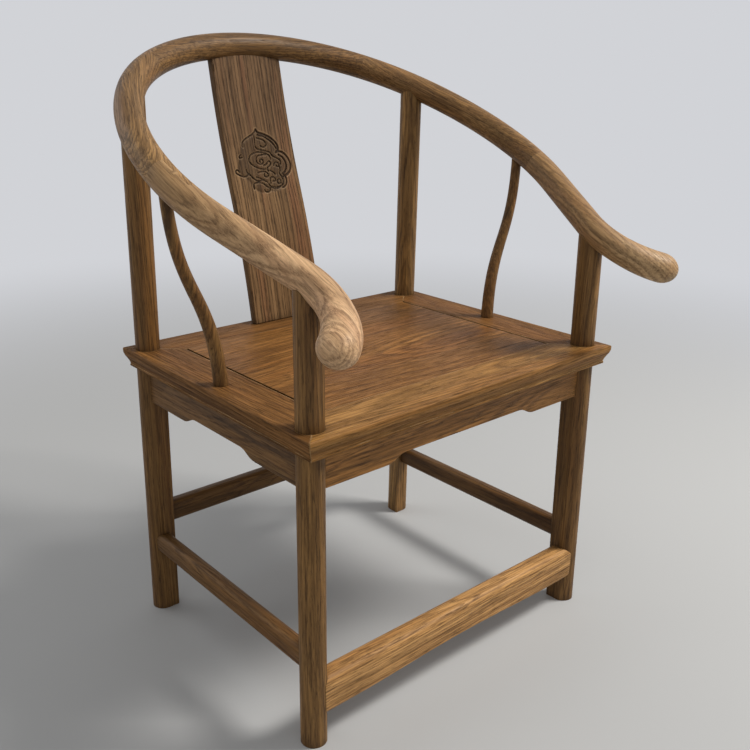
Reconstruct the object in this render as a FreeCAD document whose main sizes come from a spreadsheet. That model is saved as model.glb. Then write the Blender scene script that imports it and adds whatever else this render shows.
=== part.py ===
import FreeCAD, Part
import math
import os
from types import SimpleNamespace
import Sketcher

# Horseshoe back armchair in millimetres, +Z up. The sitter faces -Y, and +X is on the right of someone
# who looks at the front of the chair. Everything is built about the middle of the seat, and set down on
# the middle of the footprint at the end.
SIZES = {
    # seat frame: four mitred members with a moulded outer edge and a groove for the board
    "seatHeight": 480,
    "seatWidth": 622,
    "seatDepth": 492,
    "frameWidth": 73,
    "frameThickness": 31,
    "edgeRound": 2,
    "fasciaHeight": 5,
    "ogeeInset": 8,
    "ogeeRound": 30,
    "beadHeight": 4,
    "beadRound": 2.6,
    "cornerTenonInset": 5,
    "cornerTenonWidth": 14,
    "cornerTenonLength": 50,
    "cornerTenonThickness": 9,
    # seat board: floats in the grooves, with an open slit along both sides, on two dovetail battens
    "boardThickness": 14,
    "slitWidth": 4,
    "tongueThickness": 6,
    "tongueDepth": 7,
    "tonguePlay": 1,
    "battenSpacing": 230,
    "battenWidth": 34,
    "battenHeight": 13,
    "dovetailFoot": 16,
    "dovetailTop": 20,
    "dovetailHeight": 5,
    "battenTenonWidth": 22,
    "battenTenonThickness": 8,
    "battenTenonLength": 12,
    # legs: one timber each from the floor to the rail, splayed at the feet
    "legDia": 38.5,
    "legSideInset": 29,
    "frontLegInset": 36.5,
    "rearLegInset": 29.5,
    "frontFootSplay": 6,
    "rearFootSplay": 7.1,
    "frontFootSideSplay": 3.3,
    "rearFootSideSplay": 1.7,
    "postTenonDia": 18,
    "postTenonReach": 6,
    # horseshoe rail: a round timber in one inclined plane
    "chairHeight": 959,
    "armAxisHeight": 669.8,
    "railDia": 41.6,
    "crestOverhang": 129.5,
    "armBulge": 66.5,
    "handLead": 10.7,
    "handRadius": 112,
    "handWide": 51,
    "handDeep": 44.5,
    "handCap": 28,
    # lapped scarfs that join the five timbers of the rail
    "scarfLap": 60,
    "scarfPin": 8,
    "armScarfAhead": 23,
    # slender posts at the sides
    "sidePostFootDia": 22,
    "sidePostTopDia": 16.8,
    "sidePostForward": 1.6,
    "sidePostTenonDia": 11,
    "sidePostTenonLength": 14,
    # splat: a board bent into a long S
    "splatFootWidth": 146,
    "splatTopWidth": 139,
    "splatThickness": 14,
    "splatInset": 22,
    "splatForward": 3.5,
    "splatBow": 4,
    "splatTenonWidth": 100,
    "splatTenonThickness": 7,
    "splatTenonLength": 16,
    # aprons under the seat frame
    "apronThickness": 16,
    "apronDepth": 55,
    "apronArchDepth": 44,
    "apronStepWidth": 38,
    "frontApronArch": 276,
    "sideApronArch": 156,
    "apronTongueThickness": 6,
    "apronTongueLength": 8,
    "apronTongueHeight": 5,
    # stretchers
    "frontStretcherDeep": 36,
    "frontStretcherTall": 60,
    "frontStretcherRound": 12,
    "frontStretcherHeight": 76,
    "frontStretcherArch": 13,
    "stretcherDeep": 25,
    "stretcherTall": 35,
    "stretcherRound": 10.5,
    "sideStretcherHeight": 132,
    "rearStretcherHeight": 180.5,
    "rearStretcherTall": 39,
    "stretcherTenonThickness": 9,
    "stretcherTenonLength": 15,
    # round joints have this much air, and a cut runs past its piece by the overrun
    "jointClearance": 0.2,
    "overrun": 3,
}

# Angles in degrees, and shares of the size that each one follows.
STRETCHER_TENON_SHARE = 0.25
APRON_MARGIN_SHARE = 0.2
HAND_TURN = 70.8
HAND_PLAIN_SHARE = 0.3
HAND_GROWTH_SHARES = (0, 0.1, 0.32, 0.62, 0.88, 1)
ARM_BEND_SHARE = 0.3
CREST_SCARF_SHARE = 0.605
SIDE_POST_TOP_SHARE = 0.04
SIDE_POST_RISE_SHARES = (0, 0.256, 0.481, 0.723, 1)
SIDE_POST_SWING_SHARES = (0, 0.056, 0.55, 0.976, 1)
SIDE_POST_STATION_SHARES = (0, 0.12, 0.25, 0.38, 0.5, 0.62, 0.75, 0.88, 1)
SIDE_POST_TAPER_SHARES = (0, 0.28, 0.5, 0.7, 0.84, 0.93, 0.97, 1, 1)

document = FreeCAD.newDocument("HorseshoeArmchair")
sheet = document.addObject("Spreadsheet::Sheet", "Sizes")
for row, (word, number) in enumerate(SIZES.items(), start=1):
    sheet.set(f"A{row}", word)
    sheet.set(f"B{row}", str(number))
    sheet.setAlias(f"B{row}", word)
document.recompute()


# A length, and the formula in cells of the sheet that gives it.
class Size:
    def __init__(self, value, formula):
        self.value = float(value)
        self.formula = formula

    def __float__(self):
        return self.value

    def __add__(self, other):
        other = asSize(other)
        return Size(self.value + other.value, f"({self.formula} + {other.formula})")

    def __sub__(self, other):
        other = asSize(other)
        return Size(self.value - other.value, f"({self.formula} - {other.formula})")

    def __mul__(self, other):
        other = asSize(other)
        return Size(self.value * other.value, f"({self.formula} * {other.formula})")

    def __truediv__(self, other):
        other = asSize(other)
        return Size(self.value / other.value, f"({self.formula} / {other.formula})")

    def __neg__(self):
        return self * -1

    __radd__ = __add__
    __rmul__ = __mul__


def asSize(number):
    return number if isinstance(number, Size) else Size(number, f"({number})")


size = SimpleNamespace(**{word: Size(sheet.get(word), f"Sizes.{word}") for word in SIZES})
sides = {"left": -1, "right": 1}
nodes = {}


def vector(x, y, z):
    return FreeCAD.Vector(float(x), float(y), float(z))


def bind(item, formulas):
    for path, value in formulas.items():
        item.setExpression(path, asSize(value).formula)


def setBase(item, x, y, z):
    bind(item, {"Placement.Base.x": x, "Placement.Base.y": y, "Placement.Base.z": z})


def addBody(name):
    return document.addObject("PartDesign::Body", name)


# A closed outline whose every corner is held by two dimensions. A corner with a radius starts an arc that
# turns left (1) or right (-1) on its way to the next corner.
def addOutline(body, name, role, corners):
    sketch = body.newObject("Sketcher::SketchObject", name)
    plane = next(item for item in body.Origin.OriginFeatures if item.Role == role)
    sketch.AttachmentSupport = (plane, [""])
    sketch.MapMode = "FlatFace"
    starts, ends = [], []
    for corner, following in zip(corners, corners[1:] + corners[:1]):
        start, end = vector(*corner[:2], 0), vector(*following[:2], 0)
        if len(corner) == 2:
            side = sketch.addGeometry(Part.LineSegment(start, end), False)
            reverse = False
        else:
            radius, turn = corner[2:]
            chord = end - start
            right = FreeCAD.Vector(chord.y, -chord.x, 0).normalize() * turn
            half = chord.Length / 2
            sagitta = float(radius) - math.sqrt(max(float(radius) ** 2 - half ** 2, 0))
            middle = (start + end) / 2 + right * sagitta
            side = sketch.addGeometry(Part.Arc(start, middle, end), False)
            reverse = turn < 0
            index = sketch.addConstraint(Sketcher.Constraint("Radius", side, float(radius)))
            bind(sketch, {f"Constraints[{index}]": radius})
        starts.append((side, 2 if reverse else 1))
        ends.append((side, 1 if reverse else 2))
    for end, start in zip(ends, starts[1:] + starts[:1]):
        sketch.addConstraint(Sketcher.Constraint("Coincident", *end, *start))
    for start, corner in zip(starts, corners):
        for kind, place in zip(("DistanceX", "DistanceY"), corner):
            index = sketch.addConstraint(Sketcher.Constraint(kind, *start, float(place)))
            bind(sketch, {f"Constraints[{index}]": place})
    return sketch


def addCircle(body, name, x, y, radius):
    sketch = body.newObject("Sketcher::SketchObject", name)
    plane = next(item for item in body.Origin.OriginFeatures if item.Role == "XY_Plane")
    sketch.AttachmentSupport = (plane, [""])
    sketch.MapMode = "FlatFace"
    ring = sketch.addGeometry(Part.Circle(vector(x, y, 0), FreeCAD.Vector(0, 0, 1), float(radius)), False)
    for kind, place in (("DistanceX", x), ("DistanceY", y)):
        index = sketch.addConstraint(Sketcher.Constraint(kind, ring, 3, float(place)))
        bind(sketch, {f"Constraints[{index}]": place})
    index = sketch.addConstraint(Sketcher.Constraint("Radius", ring, float(radius)))
    bind(sketch, {f"Constraints[{index}]": radius})
    return sketch


def addPad(body, sketch, length, both=False, lean=None):
    pad = body.newObject("PartDesign::Pad", sketch.Name + "Pad")
    pad.Profile = sketch
    pad.Midplane = both
    bind(pad, {"Length": length})
    if lean:
        pad.UseCustomVector = True
        pad.AlongSketchNormal = True
        pad.Direction = vector(*lean, 1)
        bind(pad, {"Direction.x": lean[0], "Direction.y": lean[1]})
    sketch.Visibility = False
    return pad


def addPrism(name, role, corners, length):
    body = addBody(name)
    addPad(body, addOutline(body, name + "Outline", role, corners), length, both=True)
    return body


def addBox(name, low, high):
    box = document.addObject("Part::Box", name)
    bind(box, {"Length": high[0] - low[0], "Width": high[1] - low[1], "Height": high[2] - low[2]})
    setBase(box, *low)
    return box


def addFuse(name, *pieces):
    if len(pieces) == 1:
        return pieces[0]
    item = document.addObject("Part::MultiFuse", name)
    item.Shapes = list(pieces)
    return item


def addCut(name, base, *tools):
    item = document.addObject("Part::Cut", name)
    item.Base = base
    item.Tool = addFuse(name + "Tools", *tools)
    return item


def addCommon(name, first, second):
    item = document.addObject("Part::Common", name)
    item.Base = first
    item.Tool = second
    return item


# The two ends of a stretch that lies on one side of the middle.
def span(side, near, far):
    return (asSize(near), asSize(far)) if side > 0 else (-asSize(far), -asSize(near))


# Heights and half sizes of the seat.
seatUnderside = size.seatHeight - size.frameThickness
halfWidth = size.seatWidth / 2
halfDepth = size.seatDepth / 2
innerHalfWidth = halfWidth - size.frameWidth
innerHalfDepth = halfDepth - size.frameWidth
boardUnderside = size.seatHeight - size.boardThickness
legRadius = size.legDia / 2


# The straight axis of a leg, from the middle of its foot to its middle at seat height.
class Leg:
    def __init__(self, front, side):
        along = -1 if front else 1
        inset = size.frontLegInset if front else size.rearLegInset
        splay = size.frontFootSplay if front else size.rearFootSplay
        sideSplay = size.frontFootSideSplay if front else size.rearFootSideSplay
        self.side = side
        self.along = along
        self.seat = ((halfWidth - size.legSideInset) * side, (halfDepth - inset) * along)
        self.foot = (self.seat[0] + sideSplay * side, self.seat[1] + splay * along)
        self.lean = tuple((top - low) / size.seatHeight for top, low in zip(self.seat, self.foot))

    def at(self, height):
        return tuple(low + lean * height for low, lean in zip(self.foot, self.lean))


legs = {(end, word): Leg(end == "front", side) for end in ("front", "rear") for word, side in sides.items()}
frontLeg = legs["front", "right"]
rearLeg = legs["rear", "right"]


# The plane of the rail goes through the crest and the tops of the front posts. A point in it is given by
# x and by its distance up the slope.
crestY = float(rearLeg.seat[1] + size.crestOverhang)
crestZ = float(size.chairHeight - size.railDia / 2)
frontTopX, frontTopY = (float(place) for place in frontLeg.at(size.armAxisHeight))
slope = (crestZ - float(size.armAxisHeight)) / (crestY - frontTopY)
tilt = math.atan(slope)
planeNormal = FreeCAD.Vector(0, -math.sin(tilt), math.cos(tilt))


def heightAt(y):
    return float(size.armAxisHeight) + slope * (y - frontTopY)


def onPlane(x, up):
    y = up * math.cos(tilt)
    return FreeCAD.Vector(x, y, heightAt(y))


rearFootY = float(rearLeg.foot[1])
rearLeanY = float(rearLeg.lean[1])
rearTopY = (rearFootY + rearLeanY * heightAt(0)) / (1 - rearLeanY * slope)
rearTopHeight = heightAt(rearTopY)
rearTopX = float(rearLeg.foot[0]) + float(rearLeg.lean[0]) * rearTopHeight


# An arc of the rail's axis. The heading is 0 at the crest, where the rail runs along +X, and 90 degrees
# where it runs straight forward. A negative radius bends outwards.
class Arc:
    def __init__(self, centre, radius, start, stop):
        self.centre = centre
        self.radius = radius
        self.start = start
        self.stop = stop

    def flat(self, heading):
        return (self.centre[0] + self.radius * math.sin(heading),
                self.centre[1] + self.radius * math.cos(heading))

    def at(self, heading, side):
        x, up = self.flat(heading)
        return onPlane(side * x, up)

    def share(self, share):
        return self.start + (self.stop - self.start) * share


crestUp = crestY / math.cos(tilt)
crestDrop = crestUp - rearTopY / math.cos(tilt)
crestTurn = 2 * math.atan2(crestDrop, rearTopX)
crestRadius = (rearTopX ** 2 + crestDrop ** 2) / (2 * crestDrop)
crestArc = Arc((0, crestUp - crestRadius), crestRadius, 0, crestTurn)

quarter = math.pi / 2
shoulderRadius = float(size.armBulge) / (1 - math.sin(crestTurn))
shoulderShift = crestRadius - shoulderRadius
shoulderCentre = (shoulderShift * math.sin(crestTurn),
                  crestArc.centre[1] + shoulderShift * math.cos(crestTurn))
shoulderArc = Arc(shoulderCentre, shoulderRadius, crestTurn, quarter)

# The arm curves in from the widest place, runs straight over the front post and then curls out.
handRadius = float(size.handRadius)
handLead = float(size.handLead)
widestX = rearTopX + float(size.armBulge)
armRun = widestX - (frontTopX - handLead ** 2 / (2 * handRadius))
armReach = shoulderCentre[1] - frontTopY / math.cos(tilt)
armTurn = math.atan2(armRun, armReach) * (1 + ARM_BEND_SHARE)
armRadius = (armReach * math.sin(armTurn) - armRun * math.cos(armTurn)) / (1 - math.cos(armTurn))
armArc = Arc((widestX - armRadius, shoulderCentre[1]), armRadius, quarter, quarter + armTurn)
straightLength = (armRun - armRadius * (1 - math.cos(armTurn))) / math.sin(armTurn) - handLead
straightStart = armArc.flat(armArc.stop)
handStart = (straightStart[0] - straightLength * math.sin(armTurn),
             straightStart[1] - straightLength * math.cos(armTurn))
handCentre = (handStart[0] + handRadius * math.sin(armArc.stop),
              handStart[1] + handRadius * math.cos(armArc.stop))
handArc = Arc(handCentre, -handRadius, armArc.stop, armArc.stop - math.radians(HAND_TURN))


# Solids along the rail's axis: a piece of a ring for each arc, and a rod for the straight run.
def addRing(name, arc, start, stop, side, radius):
    centre = onPlane(side * arc.centre[0], arc.centre[1])
    first, last = arc.at(start, side) - centre, arc.at(stop, side) - centre
    if first.cross(last).dot(planeNormal) < 0:
        first, last = last, first
    ring = document.addObject("Part::Torus", name)
    ring.Radius1 = abs(arc.radius)
    bind(ring, {"Radius2": radius})
    ring.Angle3 = math.degrees(abs(stop - start))
    turned = FreeCAD.Rotation(first, planeNormal.cross(first), planeNormal, "ZXY")
    ring.Placement = FreeCAD.Placement(centre, turned)
    return ring


def addStraight(name, side, radius):
    start = onPlane(side * straightStart[0], straightStart[1])
    end = onPlane(side * handStart[0], handStart[1])
    rod = document.addObject("Part::Cylinder", name)
    bind(rod, {"Radius": radius})
    rod.Height = (end - start).Length
    rod.Placement = FreeCAD.Placement(start, FreeCAD.Rotation(FreeCAD.Vector(0, 0, 1), end - start))
    return rod


railRadius = size.railDia / 2
crestScarf = crestArc.share(CREST_SCARF_SHARE)
sidePostHeading = armArc.share(SIDE_POST_TOP_SHARE)
armScarf = sidePostHeading + float(size.armScarfAhead) / armRadius
handPlain = handArc.share(HAND_PLAIN_SHARE)
lapLength = float(size.scarfLap / 2 + size.overrun)
crestLap = lapLength / crestRadius
armLap = lapLength / armRadius


# The space that the rail fills over the posts of one side, with air around it.
def addRailSpace(word, side):
    radius = railRadius + size.jointClearance
    name = f"railSpace{word.title()}"
    return addFuse(
        name,
        addRing(name + "Crest", crestArc, crestScarf, crestArc.stop, side, radius),
        addRing(name + "Shoulder", shoulderArc, shoulderArc.start, shoulderArc.stop, side, radius),
        addRing(name + "Arm", armArc, armArc.start, armArc.stop, side, radius),
        addStraight(name + "Straight", side, radius),
        addRing(name + "Hand", handArc, handArc.start, handPlain, side, radius),
    )


railSpaces = {word: addRailSpace(word, side) for word, side in sides.items()}


# Legs. Below the seat the section is a circle with a square inner corner, whose top carries the frame.
def addLegShape(name, leg, radius, top, square=True):
    body = addBody(name)
    addPad(body, addCircle(body, name + "Round", *leg.foot, radius), top, lean=leg.lean)
    if square:
        x, y = leg.foot
        cornerX, cornerY = x - radius * leg.side, y - radius * leg.along
        corners = [(x, y), (cornerX, y), (cornerX, cornerY), (x, cornerY)]
        outline = addOutline(body, name + "Square", "XY_Plane", corners)
        addPad(body, outline, seatUnderside, lean=leg.lean)
    return body


def legTop(leg):
    return size.armAxisHeight if leg.along < 0 else Size(rearTopHeight, f"({rearTopHeight})")


legSpaces, postTenonSpaces, legMortises = {}, {}, {place: [] for place in legs}
for place, leg in legs.items():
    name = place[0] + place[1].title()
    spaceRadius = legRadius + size.jointClearance
    legSpaces[place] = addLegShape("legSpace" + name, leg, spaceRadius, legTop(leg))
    tenonRadius = size.postTenonDia / 2 + size.jointClearance
    tenonTop = legTop(leg) + size.postTenonReach + size.jointClearance
    postTenonSpaces[place] = addLegShape("mortise" + name, leg, tenonRadius, tenonTop, square=False)


# A tongue between a piece and the two legs that it joins, as a bar from leg to leg, and the mortises.
def addLegTenon(name, joined, length, thickness, low, high):
    middle = (low + high) / 2
    first, second = (legs[place] for place in joined)
    reach = legRadius - length
    (x1, y1), (x2, y2) = first.at(middle), second.at(middle)
    if first.along == second.along:
        halfRun = x2 - reach
        y = (y1 + y2) / 2
        bar = addBox(name, (-halfRun, y - thickness / 2, low), (halfRun, y + thickness / 2, high))
    else:
        x = (x1 + x2) / 2
        bar = addBox(name, (x - thickness / 2, y1 + reach, low), (x + thickness / 2, y2 - reach, high))
    for place in joined:
        legMortises[place].append(bar)
    return bar


def roundedCorners(x, y, wide, tall, radius):
    left, right, low, high = x - wide / 2, x + wide / 2, y - tall / 2, y + tall / 2
    return [
        (left + radius, low), (right - radius, low, radius, 1),
        (right, low + radius), (right, high - radius, radius, 1),
        (right - radius, high), (left + radius, high, radius, 1),
        (left, high - radius), (left, low + radius, radius, 1),
    ]


# A shallow arch planed out of the underside between the legs.
def addUnderArch(name, half, low, rise, deep):
    radius = (half * half + rise * rise) / (rise * 2)
    below = low - size.overrun
    corners = [(-half, below), (half, below), (half, low, radius, 1), (-half, low)]
    return addPrism(name, "XZ_Plane", corners, deep)


# Stretchers: rounded bars scribed to the legs.
def addStretcher(name, joined, height, deep, tall, rounding, rise=None):
    first, second = (legs[place] for place in joined)
    (x1, y1), (x2, y2) = first.at(height), second.at(height)
    if first.along == second.along:
        y = (y1 + y2) / 2
        bar = addPrism(name + "Bar", "YZ_Plane", roundedCorners(y, height, deep, tall, rounding), x2 * 2)
        if rise:
            hollow = addUnderArch(name + "Hollow", x2 - size.legDia, height - tall / 2, rise,
                                  deep + size.overrun)
            setBase(hollow, 0, y, 0)
            bar = addCut(name + "Arched", bar, hollow)
    else:
        corners = roundedCorners((x1 + x2) / 2, height, deep, tall, rounding)
        bar = addPrism(name + "Bar", "XZ_Plane", corners, y2 - y1)
        setBase(bar, 0, (y1 + y2) / 2, 0)
    tenonTall = tall * STRETCHER_TENON_SHARE
    tenon = addLegTenon(name + "Tenon", joined, size.stretcherTenonLength, size.stretcherTenonThickness,
                        height - tenonTall, height + tenonTall)
    scribed = addCut(name + "Scribed", bar, *(legSpaces[place] for place in joined))
    nodes[name] = addFuse(name + "Whole", scribed, tenon)


frontPair = (("front", "left"), ("front", "right"))
rearPair = (("rear", "left"), ("rear", "right"))
addStretcher("front_stretcher", frontPair, size.frontStretcherHeight, size.frontStretcherDeep,
             size.frontStretcherTall, size.frontStretcherRound, size.frontStretcherArch)
addStretcher("rear_stretcher", rearPair, size.rearStretcherHeight, size.stretcherDeep,
             size.rearStretcherTall, size.stretcherRound)
for word in sides:
    addStretcher(f"{word}_stretcher", (("front", word), ("rear", word)), size.sideStretcherHeight,
                 size.stretcherDeep, size.stretcherTall, size.stretcherRound)


# Aprons: the lower edge steps up in an S near both ends. A tongue goes up into the seat frame.
apronTongues = {}


def apronCorners(middle, half, arch):
    low = seatUnderside - size.apronDepth
    high = seatUnderside - size.apronArchDepth
    outer, inner = arch / 2 + size.apronStepWidth / 2, arch / 2 - size.apronStepWidth / 2
    level = (low + high) / 2
    quarterWidth, quarterRise = size.apronStepWidth / 2, (high - low) / 2
    radius = (quarterWidth * quarterWidth + quarterRise * quarterRise) / (quarterRise * 2)
    return [
        (middle - half, seatUnderside), (middle - half, low),
        (middle - outer, low, radius, 1), (middle - arch / 2, level, radius, -1),
        (middle - inner, high), (middle + inner, high, radius, -1),
        (middle + arch / 2, level, radius, 1), (middle + outer, low),
        (middle + half, low), (middle + half, seatUnderside),
    ]


def addApron(name, joined, arch):
    first, second = (legs[place] for place in joined)
    (x1, y1), (x2, y2) = first.at(seatUnderside), second.at(seatUnderside)
    acrossFront = first.along == second.along
    thick = size.apronThickness
    tongueTop = seatUnderside + size.apronTongueHeight
    halfTongue = size.apronTongueThickness / 2
    if acrossFront:
        y = (y1 + y2) / 2
        board = addPrism(name + "Board", "XZ_Plane", apronCorners(asSize(0), x2, arch), thick)
        setBase(board, 0, y, 0)
        reach = x2 - size.legDia
        tongue = addBox(name + "Tongue", (-reach, y - halfTongue, seatUnderside - size.apronTongueHeight),
                        (reach, y + halfTongue, tongueTop))
    else:
        x = (x1 + x2) / 2
        middle, half = (y1 + y2) / 2, (y2 - y1) / 2
        board = addPrism(name + "Board", "YZ_Plane", apronCorners(middle, half, arch), thick)
        setBase(board, x, 0, 0)
        reach = half - size.legDia
        low = seatUnderside - size.apronTongueHeight
        tongue = addBox(name + "Tongue", (x - halfTongue, middle - reach, low),
                        (x + halfTongue, middle + reach, tongueTop))
    tenonMargin = size.apronDepth * APRON_MARGIN_SHARE
    tenon = addLegTenon(name + "Tenon", joined, size.apronTongueLength, size.apronTongueThickness,
                        seatUnderside - size.apronDepth + tenonMargin, seatUnderside - tenonMargin)
    scribed = addCut(name + "Scribed", board, *(legSpaces[place] for place in joined))
    apronTongues[name] = tongue
    nodes[name] = addFuse(name + "Whole", scribed, tenon, tongue)


addApron("front_apron", frontPair, size.frontApronArch)
addApron("rear_apron", rearPair, size.frontApronArch)
for word in sides:
    addApron(f"{word}_apron", (("front", word), ("rear", word)), size.sideApronArch)


for place, leg in legs.items():
    name = f"{place[0]}_leg_{place[1]}"
    shaft = addLegShape(name + "Shaft", leg, legRadius, legTop(leg))
    tenon = addLegShape(name + "Tenon", leg, size.postTenonDia / 2, legTop(leg) + size.postTenonReach,
                        square=False)
    scribed = addCut(name + "Scribed", shaft, railSpaces[place[1]])
    nodes[name] = addCut(name, addFuse(name + "Whole", scribed, tenon), *legMortises[place])


# Seat frame. The profile goes from the inner edge outwards: a bead below, an ogee, a plain fascia and
# a softly rounded top edge. The inner edge has the groove for the board.
grooveLow = boardUnderside
grooveHigh = boardUnderside + size.tongueThickness
fasciaLow = size.seatHeight - size.edgeRound - size.fasciaHeight
beadHigh = seatUnderside + size.beadHeight


def railProfile(inner, out):
    outer = size.frameWidth
    ogeeFoot = outer - size.ogeeInset
    ogeeMiddle = outer - size.ogeeInset / 2
    grooveDepth = size.tongueDepth + size.tonguePlay
    shape = [
        (0, seatUnderside), (ogeeFoot, seatUnderside, size.beadRound, 1),
        (ogeeFoot, beadHigh, size.ogeeRound, -1),
        (ogeeMiddle, (beadHigh + fasciaLow) / 2, size.ogeeRound, 1),
        (outer, fasciaLow), (outer, size.seatHeight - size.edgeRound, size.edgeRound, 1),
        (outer - size.edgeRound, size.seatHeight), (0, size.seatHeight),
        (0, grooveHigh), (grooveDepth, grooveHigh), (grooveDepth, grooveLow), (0, grooveLow),
    ]
    corners = []
    for u, z, *arc in shape:
        turned = [arc[0], arc[1] * out] if arc else []
        corners.append(((inner + u) * out, z, *turned))
    return corners


# A mitred member in plan, a little longer and wider than the member.
def mitreCorners(halfLength, halfAcross, out):
    shortHalf = halfLength - size.frameWidth - size.overrun
    longHalf = halfLength + size.overrun
    inner = (halfAcross - size.frameWidth - size.overrun) * out
    outer = (halfAcross + size.overrun) * out
    return [(-shortHalf, inner), (-longHalf, outer), (longHalf, outer), (shortHalf, inner)]


cornerTenonMiddle = (seatUnderside + grooveLow) / 2
cornerTenonHalf = size.cornerTenonThickness / 2
cornerTenons = {}
for place, leg in legs.items():
    near = innerHalfWidth + size.cornerTenonInset
    x = span(leg.side, near, near + size.cornerTenonWidth)
    y = span(leg.along, innerHalfDepth, innerHalfDepth + size.cornerTenonLength)
    cornerTenons[place] = addBox(
        f"cornerTenon{place[0]}{place[1]}",
        (x[0], y[0], cornerTenonMiddle - cornerTenonHalf),
        (x[1], y[1], cornerTenonMiddle + cornerTenonHalf))


# The two dovetail battens, their ends in the front and rear members.
battenLow = boardUnderside - size.battenHeight
battenTenonMiddle = boardUnderside - size.battenHeight / 2
battenTenons, dovetailSlots = {}, []
for word, side in sides.items():
    x = size.battenSpacing / 2 * side
    half, foot, top = size.battenWidth / 2, size.dovetailFoot / 2, size.dovetailTop / 2
    crown = boardUnderside + size.dovetailHeight
    key = [(x + foot, boardUnderside), (x + top, crown), (x - top, crown), (x - foot, boardUnderside)]
    corners = [(x - half, battenLow), (x + half, battenLow), (x + half, boardUnderside), *key,
               (x - half, boardUnderside)]
    name = f"seat_batten_{word}"
    bar = addPrism(name + "Bar", "XZ_Plane", corners, innerHalfDepth * 2)
    slotLength = (innerHalfDepth + size.tongueDepth + size.overrun) * 2
    dovetailSlots.append(addPrism(name + "Slot", "XZ_Plane", key, slotLength))
    reach = innerHalfDepth + size.battenTenonLength
    tenonWide, tenonTall = size.battenTenonWidth / 2, size.battenTenonThickness / 2
    battenTenons[word] = addBox(name + "Tenon", (x - tenonWide, -reach, battenTenonMiddle - tenonTall),
                                (x + tenonWide, reach, battenTenonMiddle + tenonTall))
    nodes[name] = addFuse(name + "Whole", bar, battenTenons[word])


# Seat board with its tongue all round.
boardHalfWidth = innerHalfWidth - size.slitWidth
tongueHalfWidth = innerHalfWidth + size.tongueDepth
tongueHalfDepth = innerHalfDepth + size.tongueDepth
board = addBox("seatBoard", (-boardHalfWidth, -innerHalfDepth, boardUnderside),
               (boardHalfWidth, innerHalfDepth, size.seatHeight))
tongue = addBox("seatTongue", (-tongueHalfWidth, -tongueHalfDepth, grooveLow),
                (tongueHalfWidth, tongueHalfDepth, grooveHigh))
nodes["seat_panel"] = addCut("seatPanel", addFuse("seatPanelWhole", board, tongue), *dovetailSlots)


# Side posts: a vertical foot, an S outwards and a vertical top under the widest part of the arm.
def addRod(name, radius, start, direction, length):
    rod = document.addObject("Part::Cylinder", name)
    bind(rod, {"Radius": radius, "Height": length})
    rod.Placement = FreeCAD.Placement(start, FreeCAD.Rotation(FreeCAD.Vector(0, 0, 1), direction))
    return rod


sidePostMortises, sidePostSockets = {}, {}
sidePostX = halfWidth - size.legSideInset
for word, side in sides.items():
    name = f"side_post_{word}"
    foot = vector(sidePostX * side, -size.sidePostForward, size.seatHeight)
    top = armArc.at(sidePostHeading, side)
    poles = [FreeCAD.Vector(foot.x + (top.x - foot.x) * swing, foot.y + (top.y - foot.y) * rise,
                            foot.z + (top.z - foot.z) * rise)
             for rise, swing in zip(SIDE_POST_RISE_SHARES, SIDE_POST_SWING_SHARES)]
    axis = Part.BSplineCurve()
    axis.buildFromPolesMultsKnots(poles, [4, 1, 4], [0, 0.5, 1], False, 3)
    rings = []
    for count, (station, taper) in enumerate(zip(SIDE_POST_STATION_SHARES, SIDE_POST_TAPER_SHARES)):
        along = axis.tangent(station)[0]
        centre = axis.value(station)
        if station == 0:
            centre = centre - along * float(size.overrun)
        ring = document.addObject("Part::Circle", f"{name}Ring{count}")
        bind(ring, {"Radius": (size.sidePostFootDia * (1 - taper) + size.sidePostTopDia * taper) / 2})
        ring.Placement = FreeCAD.Placement(centre, FreeCAD.Rotation(FreeCAD.Vector(0, 0, 1), along))
        rings.append(ring)
    shaft = document.addObject("Part::Loft", name + "Shaft")
    shaft.Sections = rings
    shaft.Solid = True
    footRadius = size.sidePostFootDia
    x, y = sidePostX * side, -size.sidePostForward
    below = addBox(name + "Below", (x - footRadius, y - footRadius, seatUnderside),
                   (x + footRadius, y + footRadius, size.seatHeight))
    trimmed = addCut(name + "Trimmed", shaft, below, railSpaces[word])
    radius, air = size.sidePostTenonDia / 2, size.jointClearance
    down = FreeCAD.Vector(0, 0, -1)
    length = size.sidePostTenonLength
    start = foot - down * float(length)
    footTenon = addRod(name + "FootTenon", radius, start, down, length * 2)
    sidePostSockets[word] = addRod(name + "Socket", radius + air, start, down, length * 2 + air)
    upward = axis.tangent(1)[0]
    start = top - upward * float(size.railDia)
    topTenon = addRod(name + "TopTenon", radius, start, upward, size.railDia)
    sidePostMortises[word] = addRod(name + "Mortise", radius + air, start, upward, size.railDia + air)
    nodes[name] = addFuse(name + "Whole", trimmed, footTenon, topTenon)


# Splat: two equal arcs make the long S of its centre line, with a straight tenon at both ends.
splatFoot = FreeCAD.Vector(0, float(halfDepth - size.splatInset), float(size.seatHeight))
splatAim = FreeCAD.Vector(0, crestY - float(size.splatForward), crestZ)
splatRun = (splatAim - splatFoot).normalize()
splatTop = splatAim - splatRun * float(railRadius)
splatBack = FreeCAD.Vector(0, splatRun.z, -splatRun.y)
splatMiddle = (splatFoot + splatTop) / 2
splatBow = splatBack * float(size.splatBow)
lowerArc = [splatFoot, (splatFoot + splatMiddle) / 2 - splatBow, splatMiddle]
upperArc = [splatMiddle, (splatMiddle + splatTop) / 2 + splatBow, splatTop]


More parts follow.
